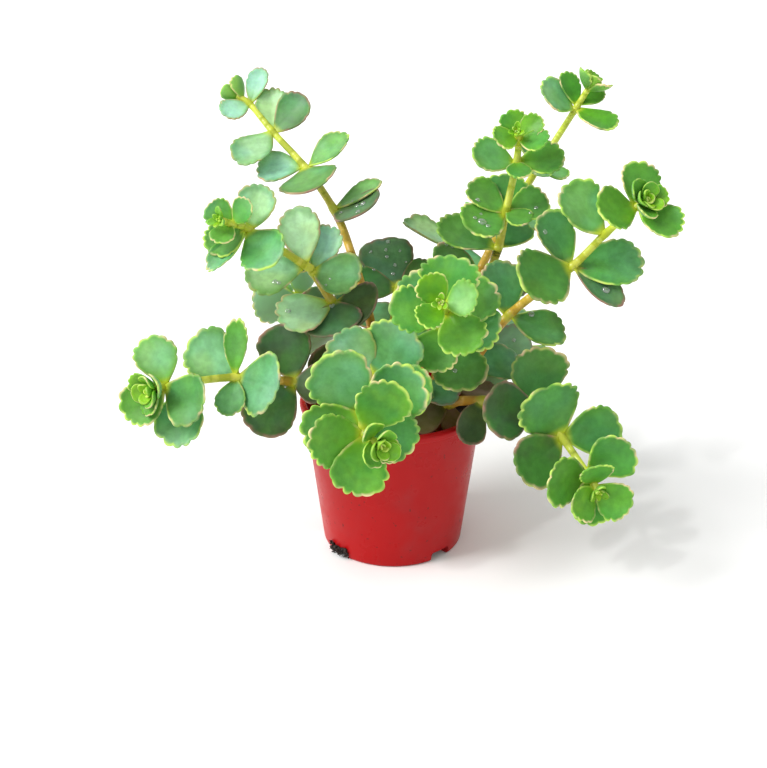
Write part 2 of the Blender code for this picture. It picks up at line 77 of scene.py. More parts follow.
# Placement, as in the part's source
POT_HEIGHT = 46.5
POT_TOP_RADIUS = 27.0
POT_BASE_RADIUS = 21.5
POT_WALL = 1.0
POT_FLOOR = 1.2
LIP_RADIUS = 28.2
LIP_HEIGHT = 2.6
POT_EDGE = 0.6
DRAIN_COUNT = 4
DRAIN_FIRST_TURN = 222.0
DRAIN_WIDTH = 7.0
DRAIN_INNER_RADIUS = 17.0
DRAIN_HEIGHT = 3.0
SOIL_TOP = 40.0
SOIL_GAP = 0.35
SOIL_RELIEF = 0.7
HOLE_DEPTH = 9.0
HOLE_CLEARANCE = 0.4
STEM_STEP = 7.0
STEM_BASE_RADIUS = 1.6
STEM_TIP_RADIUS = 0.9
LEAF_EDGE = 0.7
LEAF_MIDDLE = 1.3
LEAF_TAPER = 0.75
LEAF_FULLNESS = 0.5
LEAF_CUP = 0.1
BUD_CUP = 0.22
BUD_PITCH = 42.0
BUD_SINK = 1.2
STAGGER = 0.45

# Shapes that only the dressed model has. A leaf over LARGE_LEAF has more steps and closer teeth,
# and one up to BLUNT_LEAF has hardly any.
LARGE_LEAF = 8.5
BLUNT_LEAF = 7.5
STALK_STEP = 1.2
NODE_REACH = 1.6
DRAIN_ROUNDING = 0.8
SOIL_RINGS = 33
SLOT_CRUMBS = 220
SLOT_ROOTLETS = 14
ROOTLET_LENGTH = 3.4

# The clump is laid out upright round its own pivot. In the pot it leans by a turn about the line
# of sight, and its pivot stands at a place of its own.
VIEW = Vector((0, -0.9135, 0.4067))
LEAN = Matrix.Rotation(radians(-10.0), 3, VIEW)
PIVOT = Vector((0, 0, 36.5))
PIVOT_PLACE = Vector((3, 0, 36))
RIGHT = LEAN @ Vector((1, 0, 0))
LIGHT = LEAN @ Vector((0, -0.8, 0.6))

# Each stem: its node's name without "stem_", the soil point it rises from, the bends of its
# route, its whorls from the lowest up, its tip, and the size of its bud. A whorl is a point on
# the route, the share by which its leaves turn from the stem's direction to the light, their
# pitch from that axis, and its leaves as (turn, length, width). Turn 0 points right, 90 up.
STEMS = (
    ("front", (-2, -9), ((-8, -14, 54),), (
        ((-11, -26, 63), 0.5, 80, ((142, 17, 17), (68, 18, 19), (-12, 18, 17))),
        ((-12, -41, 59), 0.5, 82, ((133, 20, 20), (46, 20, 18), (-24, 17, 16), (212, 18, 18))),
        ((-11, -49, 57), 0.4, 76, ((72, 17, 17), (194, 17, 16), (-92, 17, 17))),
    ), (-6, -57, 58.5), 6.5),
    ("centre", (5, -3), ((2, -4, 47),), (
        ((2.5, -6, 57), 0.3, 90, ((-45, 14, 13), (200, 13, 12), (-100, 12, 12))),
        ((6, -9, 71), 0.5, 84, ((-55, 19, 18), (205, 17, 16), (75, 17, 17))),
        ((6, -18, 79), 0.3, 82, ((6, 16, 17), (258, 14, 15), (140, 18, 16), (48, 18, 15))),
        ((5, -26, 86), 0.2, 76, ((92, 16, 18), (192, 16, 15), (-50, 16, 15))),
        ((4, -32, 90), 0.2, 66, ((135, 10, 10), (235, 10, 9), (18, 11, 11))),
    ), (3, -36, 92), 3.6),
    ("low_right", (13, -9), (), (
        ((12, -10, 52), 0.6, 90, ((215, 15, 13), (-70, 9, 8), (110, 10, 8))),
        ((21, -15, 57), 0.6, 85, ((250, 15, 11), (-20, 13, 13))),
        ((36, -21, 61), 0.7, 82, ((105, 17, 20), (198, 19, 18))),
        ((43.5, -28, 56), 0.7, 80, ((130, 17, 21), (22, 17, 16), (222, 18, 17))),
        ((52, -34, 49), 0.6, 74, ((52, 15, 16), (190, 16, 16), (-82, 14, 14))),
        ((54, -37, 47.5), 0.5, 62, ((110, 9, 11), (-28, 12, 12), (222, 12, 11))),
    ), (55, -39, 47), 4.5),
    ("low_left", (-9, -7), ((-20, -10, 50),), (
        ((-34, -14, 52), 0.75, 82, ((112, 18, 17), (248, 19, 18), (0, 13, 13))),
        ((-49, -24, 55), 0.7, 80, ((150, 18, 17), (-8, 15, 20), (275, 12, 10), (92, 17, 8))),
        ((-62, -31, 54), 0.7, 84, ((-85, 19, 16),)),
        ((-67, -36, 54), 0.6, 76, ((112, 15, 14), (232, 14, 14), (-14, 17, 16))),
    ), (-70, -40, 54), 6.5),
    ("left", (-6, 0), ((-16, -2, 62),), (
        ((-27, -2, 74), 0.6, 84, ((-15, 15, 17), (222, 18, 17), (-70, 15, 18))),
        ((-34, -4, 83), 0.7, 82, ((72, 15, 11), (-8, 16, 15), (160, 10, 10))),
        ((-36, -6, 85), 0.7, 80, ((107, 18, 13), (208, 18, 14))),
        ((-52, -16, 96), 0.6, 78, ((78, 13, 13), (-45, 17, 15), (222, 13, 12), (246, 17, 7))),
        ((-56, -20, 98), 0.6, 68, ((152, 9, 9), (48, 9, 8), (258, 8, 8))),
    ), (-59, -24, 100), 4.5),
    ("right", (15, -2), (), (
        ((16, -3, 61), 0.5, 88, ((30, 17, 14), (155, 13, 12))),
        ((24, -4, 80), 0.6, 86, ((115, 17, 16), (-10, 18, 13))),
        ((38, -6, 98), 0.7, 80, ((128, 18, 14), (14, 21, 16), (220, 21, 20), (-30, 18, 10))),
        ((45, -8, 110), 0.7, 80, ((145, 18, 17),)),
        ((51, -12, 120), 0.6, 76, ((94, 13, 13), (210, 15, 14), (-30, 14, 12))),
    ), (52.5, -15, 123), 6.0),
    ("right_inner", (10, 4), ((11, 6, 66),), (
        ((16, 7, 84), 0.5, 84, ((170, 19, 16), (20, 14, 14))),
        ((18, 8, 96), 0.5, 84, ((178, 20, 15), (60, 13, 13))),
        ((18, 8, 106), 0.6, 80,
         ((97, 14, 14), (222, 16, 15), (155, 14, 12), (20, 13, 14), (-40, 9, 9))),
        ((18, 6, 122), 0.5, 78, ((186, 14, 13), (4, 14, 13), (-80, 9, 8))),
        ((17, 3, 129), 0.6, 66, ((118, 9, 9), (48, 9, 8), (-18, 10, 9), (212, 9, 9))),
    ), (16, 0, 132), 3.6),
    ("tall_right", (11, 11), ((11, 17, 65), (15, 22, 84)), (
        ((21, 28, 101), 0.5, 80, ((180, 14, 13), (60, 14, 13), (-40, 14, 13))),
        ((27, 35, 115), 0.5, 80, ((120, 13, 12), (-30, 10, 10), (250, 13, 12))),
        ((35, 42, 133), 0.6, 76, ((182, 14, 14), (-40, 15, 12), (122, 12, 8), (42, 10, 6))),
    ), (37.5, 42, 140), 8.0),
    ("back_left", (-4, 9), ((-15, 11, 64), (-25, 15, 85)), (
        ((-32, 20, 95), 0.5, 84, ((-30, 17, 18), (18, 17, 12))),
        ((-43, 28, 104), 0.6, 82, ((30, 17, 13), (292, 18, 20), (190, 15, 15))),
        ((-55, 36, 111), 0.8, 80, ((50, 15, 13), (102, 15, 11), (246, 17, 13))),
        ((-64, 42, 117), 0.8, 76, ((78, 12, 8), (226, 10, 10))),
    ), (-69, 45, 118), 6.0),
    ("back_centre", (1, 6), ((-4, 8, 52),), (
        ((-8, 13, 62), 0.4, 80, ((150, 18, 17), (30, 16, 16), (270, 15, 15))),
        ((-9, 22, 73), 0.8, 84, ((118, 18, 19), (190, 15, 13), (30, 14, 14))),
    ), (-9, 29, 76), 5.0),
    ("back", (4, 13), ((1, 20, 56), (4, 28, 73)), (
        ((8, 33, 87), 0.4, 88, ((182, 20, 13), (60, 14, 14), (-60, 14, 13))),
    ), (10, 36, 97), 5.0),
    ("low_back", (8, 18), ((6, 22, 56),), (
        ((9, 36, 57), 0.0, 84, ((90, 17, 17), (210, 17, 16), (-30, 16, 16))),
        ((10, 51, 57), 0.0, 78, ((30, 16, 16), (150, 16, 16), (-90, 15, 15))),
    ), (10, 58, 54), 5.4),
    ("low_back_right", (17, 7), ((17, 14, 55),), (
        ((23, 25, 53), 0.0, 84, ((80, 16, 16), (200, 16, 16), (-40, 16, 16))),
        ((32, 40, 52), 0.0, 78, ((20, 15, 15), (140, 15, 15), (-100, 15, 15))),
    ), (36, 47, 49), 5.4),
    ("low_back_left", (-11, 10), ((-20, 17, 50),), (
        ((-29, 26, 57), 0.0, 84, ((100, 16, 16), (220, 16, 16), (-20, 16, 16))),
        ((-40, 39, 58), 0.0, 78, ((40, 16, 16), (160, 16, 16), (-80, 15, 15))),
    ), (-45, 46, 56), 5.4),
)

# Leaves that stand off their whorl's turn and pitch to clear the other stems, by stem and place
# in its list: degrees round the stem, degrees of pitch, share of the length.
NUDGES = {
    ("centre", 0): (0, -8, 1), ("centre", 7): (0, 16, 1), ("low_right", 0): (0, 8, 1),
    ("low_right", 1): (0, 16, 1), ("low_right", 2): (0, 24, 0.9), ("left", 1): (0, -8, 1),
    ("right", 2): (0, -8, 1), ("right_inner", 0): (0, -8, 1), ("back_centre", 0): (-16, 0, 1),
    ("back", 2): (0, 24, 0.9), ("low_back_right", 1): (0, 8, 1),
}

# How each stem's leaves look: the age of its lowest whorl and of its highest, from 0, just open,
# to 1, old and dark, and how much pale bloom they carry.
STEM_LOOKS = {
    "front": (0.5, 0.25, 0.55), "centre": (0.8, 0.02, 0.4),
    "low_right": (0.8, 0.28, 0.3), "low_left": (0.7, 0.35, 0.85),
    "left": (0.65, 0.35, 1.05), "right": (0.75, 0.35, 0.4),
    "right_inner": (0.7, 0.2, 0.3), "tall_right": (0.6, 0.35, 0.6),
    "back_left": (0.6, 0.35, 1.0), "back_centre": (0.85, 0.8, 0.4),
    "back": (0.8, 0.8, 0.75), "low_back": (0.85, 0.5, 0.3),
    "low_back_right": (0.85, 0.5, 0.3), "low_back_left": (0.85, 0.5, 0.3),
}

# Leaves that differ from the rest of their stem: what they change, by stem and place in its list.
LEAF_LOOKS = {
    "age": {
        "front": {0: 0.4, 3: 0.4, 5: 0.55}, "centre": {13: 0.22, 14: 0.2, 15: 0.25},
        "low_right": {0: 1.0, 1: 0.8, 2: 1.0, 3: 0.95, 6: 0.83, 9: 0.72},
        "low_left": {0: 0.88, 1: 0.85, 2: 0.95, 6: 0.4, 10: 0.55},
        "left": {0: 0.95, 1: 0.3, 2: 0.9, 3: 0.3, 4: 0.7, 9: 0.45}, "right": {6: 0.6, 7: 0.85},
        "back_centre": {3: 0.9}, "back": {0: 0.5}, "tall_right": {7: 0.4, 8: 0.4, 9: 0.4},
        "back_left": {0: 0.95, 1: 0.7, 3: 0.75, 5: 0.75, 9: 0.35, 11: 0.15, 12: 0.1, 19: 0.3,
                      20: 0.15},
    },
    "bloom": {
        "front": {0: 1.1, 3: 0.75, 5: 0.15}, "centre": {4: 0.8, 5: 0.8, 13: 0.0, 14: 0.0, 15: 0.9},
        "low_right": {0: 0.1, 3: 0.05, 6: 0.05, 9: 0.05},
        "low_left": {0: 0.05, 1: 0.2, 2: 0.1, 3: 0.95, 4: 0.55, 6: 0.3, 8: 0.9, 10: 0.3},
        "left": {0: 0.1, 1: 1.6, 2: 0.2, 3: 1.5, 4: 0.5, 6: 1.5, 7: 1.1, 8: 1.15, 9: 0.4},
        "right": {6: 0.1, 7: 0.3, 8: 0.65}, "back_centre": {3: 0.35}, "back": {0: 1.2},
        "right_inner": {9: 0.5}, "tall_right": {6: 0.85, 7: 0.0, 8: 0.0, 9: 0.0},
        "back_left": {0: 0.25, 1: 0.6, 2: 0.7, 3: 0.5, 4: 1.2, 5: 0.2, 6: 1.3, 7: 1.2, 8: 1.4,
                      9: 1.3, 11: 0.0, 12: 0.0, 19: 1.1, 20: 0.0},
    },
    "dry": {"low_right": {0: 0.6, 1: 1.0, 2: 0.5}},
    "wave": {
        "front": {0: 0.2, 1: 0.2}, "right": {5: 0.3, 7: 0.3},
        "back_left": {0: 0.1, 1: 0.1, 5: 0.2, 6: 0.2},
    },
    "rise": {
        "front": {0: 1.2}, "left": {10: 1.0}, "right": {5: 1.0, 7: -2.5},
        "back_left": {5: 1.5, 6: -0.8},
    },
}

# Old leaves that still hang on the foot of a stem: the stem, their height in millimetres, the
# share by which they turn from straight up to the light, turn, pitch, length, width, and how
# withered they are.
FOOT_LEAVES = (
    ("right", 50, 0, -6, 92, 13, 12, 1.0),
    ("right", 45, 0, 150, 96, 9, 6, 1.0),
    ("centre", 44, 0, -70, 98, 9, 7, 1.0),
    ("front", 44, 0, 20, 96, 10, 6, 1.0),
    ("low_left", 49, 1, 128, 86, 18, 16, 0.2),
)

# The small leaves in a bud: share of the bud's size, pitch, turn of the first, and how many.
HEART_RINGS = ((0.74, 36, 30, 3), (0.5, 20, 80, 3))

# How much the leaves of one ring in a bud differ in size, as a share, and the width and cup, as
# shares, of the leaves in a bud under SMALL_BUD millimetres and in a larger one.
HEART_UNEVEN = 0.14
SMALL_BUD = 5.0
SMALL_BUD_WIDTH = 0.5
LARGE_BUD_WIDTH = 0.85

# A ring of small cupped leaves under a bud whose size is in this range of millimetres: share of
# the bud's size, pitch and cup.
INNER_RING_BUDS = (5.5, 7.0)
INNER_RING = (1.3, 62.0, 0.2)

# The heights, over the highest whorl's 1, that stand for that ring and for a bud's outer leaves,
# and the step from ring to ring inside the bud.
RING_HEIGHT = 1.1
BUD_HEIGHT = 1.2
BUD_HEIGHT_STEP = 0.2

# Drops of water: where each shows in the camera's frame, in pixels, and its radius in
# millimetres. Each one sits on the leaf that it is seen on.
DROPS = (
    (275, 282, 0.65), (279, 283, 0.5), (288, 311, 0.7), (332, 306, 0.7), (388, 242, 0.6),
    (386, 250, 0.45), (387, 257, 0.5), (400, 251, 0.4), (395, 265, 0.5), (393, 274, 0.55),
    (374, 270, 0.4), (371, 252, 0.4), (406, 262, 0.35), (482, 222, 1.1), (475, 218, 0.5),
    (488, 226, 0.6), (481, 214, 0.4), (545, 232, 0.6), (531, 314, 0.8), (363, 204, 0.8),
    (357, 206, 0.6), (358, 212, 0.7), (352, 202, 0.5), (341, 213, 0.5), (286, 386, 0.5),
    (478, 200, 0.6), (536, 208, 0.5), (530, 213, 0.35), (446, 244, 0.5), (452, 247, 0.35),
    (330, 279, 0.35), (326, 285, 0.3), (606, 290, 0.9), (455, 371, 0.6), (514, 340, 0.5),
)

# The camera: its place in millimetres, its height over the horizon in degrees, and its focal
# length in pixels of a frame FRAME_WIDTH wide.
CAMERA_PLACE = Vector((-2.84, -356.6, 209.71))
CAMERA_ELEVATION = 24.0
CAMERA_FOCAL = 1300.0
FRAME_WIDTH = 767
FRAME_HEIGHT = 768
SENSOR_WIDTH = 36.0


# Settings


def paint(name, thing, default):
    """The colour of a thing, which a user may change."""
    return FloatVectorProperty(
        name=name, description="Colour of " + thing, subtype="COLOR", default=default
    )


def measure(name, description, default, low, high=10.0, **more):
    """A number that a user may change."""
    return FloatProperty(
        name=name, description=description, default=default, min=low, max=high, **more
    )


def whole(name, description, default, low, high):
    """A whole number that a user may change."""
    return IntProperty(name=name, description=description, default=default, min=low, max=high)


class DaphneLeafSettings(bpy.types.PropertyGroup):
    """Sizes and colours of the leaves."""

    tooth_depth: measure(
        "Tooth depth", "Depth of a leaf's notches, as a share of its radius", 0.13, 0.0, 0.3
    )
    tooth_spacing: measure("Tooth spacing", "Degrees from notch to notch", 22.5, 10.0, 60.0)
    steps: whole("Steps", "Steps round a leaf's edge", 132, 24, 160)
    drop_size: measure(
        "Drop size", "Size of the water drops, as a share of their listed size", 1.25, 0.5, 2.0
    )
    young_colour: paint("Young leaf", "a leaf that has just opened", (0.2, 0.46, 0.004))
    fresh_colour: paint("Fresh leaf", "a grown leaf", (0.08, 0.3, 0.022))
    green_colour: paint("Green leaf", "a leaf halfway up a stem", (0.055, 0.2, 0.026))
    old_colour: paint("Old leaf", "the oldest leaves", (0.055, 0.09, 0.032))
    bloom_colour: paint("Bloom", "the pale bloom on a leaf", (0.2, 0.5, 0.22))
    # Thick bloom is also the colour of the painted sheen on the tips of some leaves.
    chalk_and_sheen_colour: paint("Thick bloom", "the thickest bloom", (0.35, 0.6, 0.37))
    # The fresh rim and cream rim colours are partly the leaf's pale margin and partly painted
    # light on its edge.
    rim_colour: paint("Fresh rim", "a young leaf's rim", (0.5, 0.72, 0.13))
    cream_rim_and_edge_light_colour: paint("Cream rim", "the patches in a young rim", (0.74, 0.6, 0.33))
    old_rim_colour: paint("Old rim", "an old leaf's rim", (0.3, 0.16, 0.12))
    root_colour: paint("Leaf root", "a leaf at its stem", (0.48, 0.54, 0.03))
    dry_colour: paint("Dry leaf", "a withered leaf", (0.15, 0.1, 0.02))


class DaphneStalkSettings(bpy.types.PropertyGroup):
    """Sizes and colours of the stalks."""

    node_swelling: measure(
        "Node swelling", "Swelling where leaves grow, as a share of the radius", 0.18, 0.0, 1.0
    )
    sides: whole("Sides", "Steps round a stalk", 14, 6, 48)
    tip_colour: paint("Stalk tip", "a stalk near its bud", (0.52, 0.6, 0.06))
    base_colour: paint("Stalk base", "a stalk near the soil", (0.58, 0.3, 0.035))


class DaphnePotSettings(bpy.types.PropertyGroup):
    """Sizes and colours of the pot."""

    edge_radius: measure(
        "Edge radius", "Radius of the pot's rounded edges",
        0.0003, 0.0001, 0.001, precision=5, unit="LENGTH",
    )
    steps: whole("Steps", "Steps round the pot", 128, 32, 256)
    colour: paint("Pot", "the pot's plastic", (0.4, 0.005, 0.006))


class DaphneSoilSettings(bpy.types.PropertyGroup):
    """Sizes and colours of the soil."""

    lump_height: measure(
        "Lump height", "Height of the small lumps of the soil",
        0.0011, 0.0, 0.003, precision=5, unit="LENGTH",
    )
    crumb_count: whole("Crumbs", "Loose crumbs on the soil", 420, 0, 2000)
    colour: paint("Soil", "the damp soil", (0.02, 0.014, 0.011))


class DaphneStageSettings(bpy.types.PropertyGroup):
    """The floor and the light."""

    floor_colour: paint("Floor", "the floor", (0.93, 0.93, 0.925))
    sky_strength: measure("Sky", "Strength of the even light from all sides", 0.76, 0.0)
    key_strength: measure("Key light", "Strength of the soft light from the left", 3.0, 0.0)
    glint_strength: measure("Glint light", "Strength of the light seen in the drops", 0.45, 0.0)


# Materials


class Shader:
    """A material that is put together node by node."""

    def __init__(self, name):
        self.material = bpy.data.materials.new(name)
        self.material.use_nodes = True
        self.tree = self.material.node_tree
        self.surface = self.tree.nodes["Principled BSDF"]

    def feed(self, socket, value):
        """Gives a socket another socket's value, a number, or a colour."""
        if isinstance(value, bpy.types.NodeSocket):
            self.tree.links.new(value, socket)
        elif isinstance(value, (int, float)):
            socket.default_value = value
        elif len(socket.default_value) == 4:
            socket.default_value = (*value, 1.0)[:4]
        else:
            socket.default_value = tuple(value)

    def finish(self, **values):
        """Feeds the surface, Base_Color being its socket Base Color, and gives the material."""
        for key, value in values.items():
            self.feed(self.surface.inputs[key.replace("_", " ")], value)
        return self.material

    def node(self, kind, output, inputs, **values):
        """A new node's output, with its inputs fed by name or by place."""
        node = self.tree.nodes.new(kind)
        for key, value in values.items():
            setattr(node, key, value)
        for key, value in inputs.items():
            self.feed(node.inputs[key], value)
        return node.outputs[output]

    def mark(self, name):
        """A mark on the points of the mesh."""
        return self.node("ShaderNodeAttribute", "Fac", {}, attribute_name=name)

    def clouds(self, size, detail, roughness=0.5):
        """Soft noise whose patches are about size millimetres wide."""
        place = self.node("ShaderNodeTexCoord", "Object", {})
        inputs = {"Scale": 1 / (size * MM), "Detail": detail, "Roughness": roughness}
        return self.node("ShaderNodeTexNoise", "Fac", {"Vector": place, **inputs})

    def span(self, value, low, high, start=0.0, end=1.0):
        """The value between low and high, carried smoothly to between start and end."""
        names = ("Value", "From Min", "From Max", "To Min", "To Max")
        inputs = dict(zip(names, (value, low, high, start, end)))
        return self.node("ShaderNodeMapRange", "Result", inputs, interpolation_type="SMOOTHSTEP")

    def patches(self, size, detail, *limits, roughness=0.5):
        """Clouds whose values between the limits are carried smoothly, as span does."""
        return self.span(self.clouds(size, detail, roughness), *limits)

    def math(self, operation, first, second):
        return self.node("ShaderNodeMath", "Value", {0: first, 1: second}, operation=operation)

    def times(self, value, *others):
        for other in others:
            value = self.math("MULTIPLY", value, other)
        return value

    def mix(self, share, first, second, blend="MIX"):
        """The first colour turned into the second by the share."""
        inputs = {0: share, 6: first, 7: second}
        return self.node("ShaderNodeMix", 2, inputs, data_type="RGBA", blend_type=blend)

    def bump(self, height, strength, depth):
        """A normal from a relief that is depth millimetres deep."""
        inputs = {"Height": height, "Strength": strength, "Distance": depth * MM}
        return self.node("ShaderNodeBump", "Normal", inputs)


def leaf_material():
    """Fleshy leaf: green by age, with pale bloom, painted tip sheen, a lighter rim and a yellow
    root.
    """
    look = bpy.context.scene.daphne_leaf
    shader = Shader("daphne_leaf")
    mix, span, patches, times = shader.mix, shader.span, shader.patches, shader.times
    age, bloom, dry, tint, rim, reach, under = [shader.mark(mark) for mark in LeafMaker.MARKS]
    mood = shader.math("ADD", age, patches(7.0, 2.0, 0.3, 0.7, -0.09, 0.09))
    colour = mix(span(mood, 0.0, 0.3), look.young_colour, look.fresh_colour)
    colour = mix(span(mood, 0.3, 0.62), colour, look.green_colour)
    colour = mix(span(mood, 0.6, 1.0), colour, look.old_colour)
    colour = mix(span(age, 0.0, -0.3), colour, look.rim_colour)
    # Bloom lies in patches and is thinner at the rim; the pale tips of some leaves are a painted
    # sheen
    dust = times(bloom, patches(9.0, 2.0, 0.34, 0.62, 0.6, 1.0), span(rim, 0.98, 0.55, 0.4, 1.0))
    wax = mix(span(bloom, 0.7, 1.4), look.bloom_colour, look.chalk_and_sheen_colour)
    colour = mix(dust, colour, wax)
    # Painted sheen: the far part of some leaves is paled towards the thick bloom colour, standing
    # in for reflected light
    some = span(tint, 0.4, 0.9, 0.0, 0.5)
    painted_sheen_tip = times(span(reach, 0.55, 1.0), some, span(bloom, 0.1, 0.6))
    colour = mix(painted_sheen_tip, colour, look.chalk_and_sheen_colour)
    # One leaf is warmer, the next one cooler
    drift = patches(11.0, 1.0, 0.38, 0.62, -0.3, 0.3)
    cool = mix(shader.math("ADD", tint, drift), (1.14, 1.0, 0.75), (0.86, 0.98, 1.15))
    colour = mix(1.0, colour, cool, "MULTIPLY")
    fine = patches(2.2, 4.0, 0.3, 0.7, 0.88, 1.1, roughness=0.6)
    colour = mix(1.0, colour, fine, "MULTIPLY")
    # The underside is pale on grown leaves
    grown = times(span(age, 0.05, 0.35, 0.1, 0.55), span(age, 0.9, 0.65, 0.35, 1.0))
    colour = mix(times(span(under, 0.5, 0.7), grown), colour, look.chalk_and_sheen_colour)
    # The rim is lime and cream on young leaves, partly the leaf's pale margin and partly painted
    # edge light, and dull red on old or dusty ones
    edge = times(span(rim, 0.85, 0.985), patches(4.5, 2.0, 0.36, 0.62, 0.12, 1.0))
    worn = span(bloom, 0.85, 1.3, 0.0, 0.75)
    rim_age = shader.math("MAXIMUM", span(mood, 0.5, 0.85), worn)
    fresh_rim_and_edge_light = mix(patches(5.0, 1.0, 0.45, 0.62), look.rim_colour, look.cream_rim_and_edge_light_colour)
    colour = mix(edge, colour, mix(rim_age, fresh_rim_and_edge_light, look.old_rim_colour))
    glow = times(span(reach, 0.5, 0.1), span(age, 0.55, 0.2, 0.0, 0.5))
    colour = mix(glow, colour, look.young_colour)
    colour = mix(span(reach, 0.2, 0.03), colour, look.root_colour)
    blotches = patches(3.8, 3.0, 0.35, 0.65, 0.0, 0.4)
    colour = mix(dry, colour, mix(blotches, look.dry_colour, look.old_rim_colour))
    relief = mix(0.3, shader.clouds(3.8, 2.0), shader.clouds(0.6, 2.0))
    return shader.finish(
        Base_Color=colour, Roughness=patches(6.0, 2.0, 0.3, 0.7, 0.36, 0.5),
        Specular_IOR_Level=0.2, Subsurface_Weight=0.25, Subsurface_Radius=(0.6, 1.0, 0.25),
        Subsurface_Scale=0.0012, Normal=shader.bump(relief, 0.3, 0.35),
    )


def stalk_material():
    """Juicy stalk: ochre at the soil, yellow-green at the bud, brightest where leaves grow."""
    look = bpy.context.scene.daphne_stalk
    shader = Shader("daphne_stalk")
    joint = shader.span(shader.mark("joint"), 0.0, 1.0, 0.0, 0.7)
    height = shader.span(shader.mark("rise"), 0.3, 0.85)
    colour = shader.mix(height, look.base_colour, look.tip_colour)
    streaks = shader.patches(6.0, 3.0, 0.3, 0.7, 0.86, 1.08)
    colour = shader.mix(1.0, colour, streaks, "MULTIPLY")
    colour = shader.mix(joint, colour, bpy.context.scene.daphne_leaf.root_colour)
    return shader.finish(
        Base_Color=colour, Roughness=0.38, Subsurface_Weight=0.25,
        Subsurface_Radius=(1.0, 0.8, 0.2), Subsurface_Scale=0.001,
        Normal=shader.bump(shader.clouds(1.1, 2.0), 0.2, 0.3),
    )


def pot_material():
    """Thin red moulded plastic, a little dusty, with fine scuffs and specks of soil."""
    colour = bpy.context.scene.daphne_pot.colour
    shader = Shader("daphne_pot")
    dusty = [0.85 * value + 0.015 for value in colour]
    dust = shader.patches(16.0, 4.0, 0.5, 0.8, roughness=0.6)
    coat = shader.mix(dust, colour, dusty)
    specks = shader.patches(1.4, 2.0, 0.68, 0.74, 0.0, 0.7)
    coat = shader.mix(specks, coat, bpy.context.scene.daphne_soil.colour)
    return shader.finish(
        Base_Color=coat, Specular_IOR_Level=0.15, Subsurface_Weight=0.08,
        Roughness=shader.patches(11.0, 5.0, 0.3, 0.7, 0.24, 0.42, roughness=0.65),
        Subsurface_Radius=(1.0, 0.15, 0.1), Subsurface_Scale=0.001,
        Normal=shader.bump(shader.clouds(2.8, 3.0), 0.12, 0.2),
    )


def soil_material():
    """Damp dark potting soil."""
    colour = bpy.context.scene.daphne_soil.colour
    shader = Shader("daphne_soil")
    peat = [2.6 * value for value in colour]
    fibres = shader.patches(1.2, 4.0, 0.4, 0.7, roughness=0.7)
    return shader.finish(
        Base_Color=shader.mix(fibres, colour, peat),
        Roughness=shader.patches(1.8, 3.0, 0.3, 0.7, 0.7, 0.98),
        Normal=shader.bump(shader.clouds(0.8, 6.0, 0.7), 0.9, 0.8),
    )


def water_material():
    """Clear water with a bright skin."""
    shader = Shader("daphne_water")
    return shader.finish(
        Base_Color=(1, 1, 1), Roughness=shader.patches(1.5, 1.0, 0.3, 0.7, 0.0, 0.06),
        IOR=1.35, Transmission_Weight=0.9, Coat_Weight=1.0, Coat_IOR=2.2, Coat_Roughness=0.08,
    )


def floor_material():
    """Matt pale floor with a very faint unevenness."""
    colour = bpy.context.scene.daphne_stage.floor_colour
    shader = Shader("studio_floor")
    shade = [0.985 * value for value in colour]
    return shader.finish(
        Base_Color=shader.mix(shader.clouds(120.0, 2.0), shade, colour),
        Roughness=0.9, Specular_IOR_Level=0.1,
    )


# Shapes


def show(name, data):
    """A new object of the scene that holds the data."""
    shown = bpy.data.objects.new(name, data)
    bpy.context.scene.collection.objects.link(shown)
    return shown


def round_edges(bm, edges, offset, segments):
    bmesh.ops.bevel(
        bm, geom=edges, affect="EDGES", offset=offset, segments=segments, profile=0.5,
        material=-1, clamp_overlap=True,
    )


def mesh_of(bm, name):
    """Makes the bmesh a mesh and frees it."""
    mesh = bpy.data.meshes.new(name)
    bm.to_mesh(mesh)
    bm.free()
    return mesh


def finish_piece(bm, name, materials, node=None):
    """Makes the bmesh, in millimetres, a piece in metres that rides on the body."""
    bmesh.ops.scale(bm, vec=(MM, MM, MM), verts=bm.verts)
    mesh = mesh_of(bm, name)
    mesh.shade_smooth()
    for material in materials:
        mesh.materials.append(material)
    piece = show(name, mesh)
    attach(piece, BODY)
    if node:
        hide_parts(node)
    return piece


def smooth_step(low, high, value):
    """0 under low, 1 over high, and a soft step between."""
    share = min(1.0, max(0.0, (value - low) / (high - low)))
    return share * share * (3 - 2 * share)


def curve_point(points, index, share):
    """A point of the smooth curve through the points, between two neighbours."""
    last = len(points) - 1
    before, start, end, after = [points[min(max(index + n, 0), last)] for n in (-1, 0, 1, 2)]
    square = share * share
    cube = square * share
    return 0.5 * (
        2 * start
        + (end - before) * share
        + (2 * before - 5 * start + 4 * end - after) * square
        + (3 * start - before - 3 * end + after) * cube
    )


def placed(point):
    """Where a point of the clump's layout stands in the pot."""
    return PIVOT_PLACE + LEAN @ (Vector(point) - PIVOT)


def stem_route(stem, spacing):
    """The points of a stem from its foot in the soil to its bud, and the index of each whorl."""
    _, (x, y), bends, whorls, tip, _ = stem
    foot = SOIL_TOP - HOLE_DEPTH + HOLE_CLEARANCE
    knots = [Vector((x, y, foot)), Vector((x, y, SOIL_TOP + 1.5))]
    knots += [placed(bend) for bend in bends]
    first_whorl = len(knots)
    knots += [placed(whorl[0]) for whorl in whorls]
    knots.append(placed(tip))
    route = [knots[0]]
    whorl_at = []
    for index in range(len(knots) - 1):
        if index >= first_whorl:
            whorl_at.append(len(route) - 1)
        length = (knots[index + 1] - knots[index]).length
        steps = 1 if index == 0 else max(1, round(length / spacing))
        for step in range(1, steps + 1):
            route.append(curve_point(knots, index, step / steps))
    return route, whorl_at


def direction_at(route, index):
    before = route[max(index - 1, 0)]
    after = route[min(index + 1, len(route) - 1)]
    return (after - before).normalized()


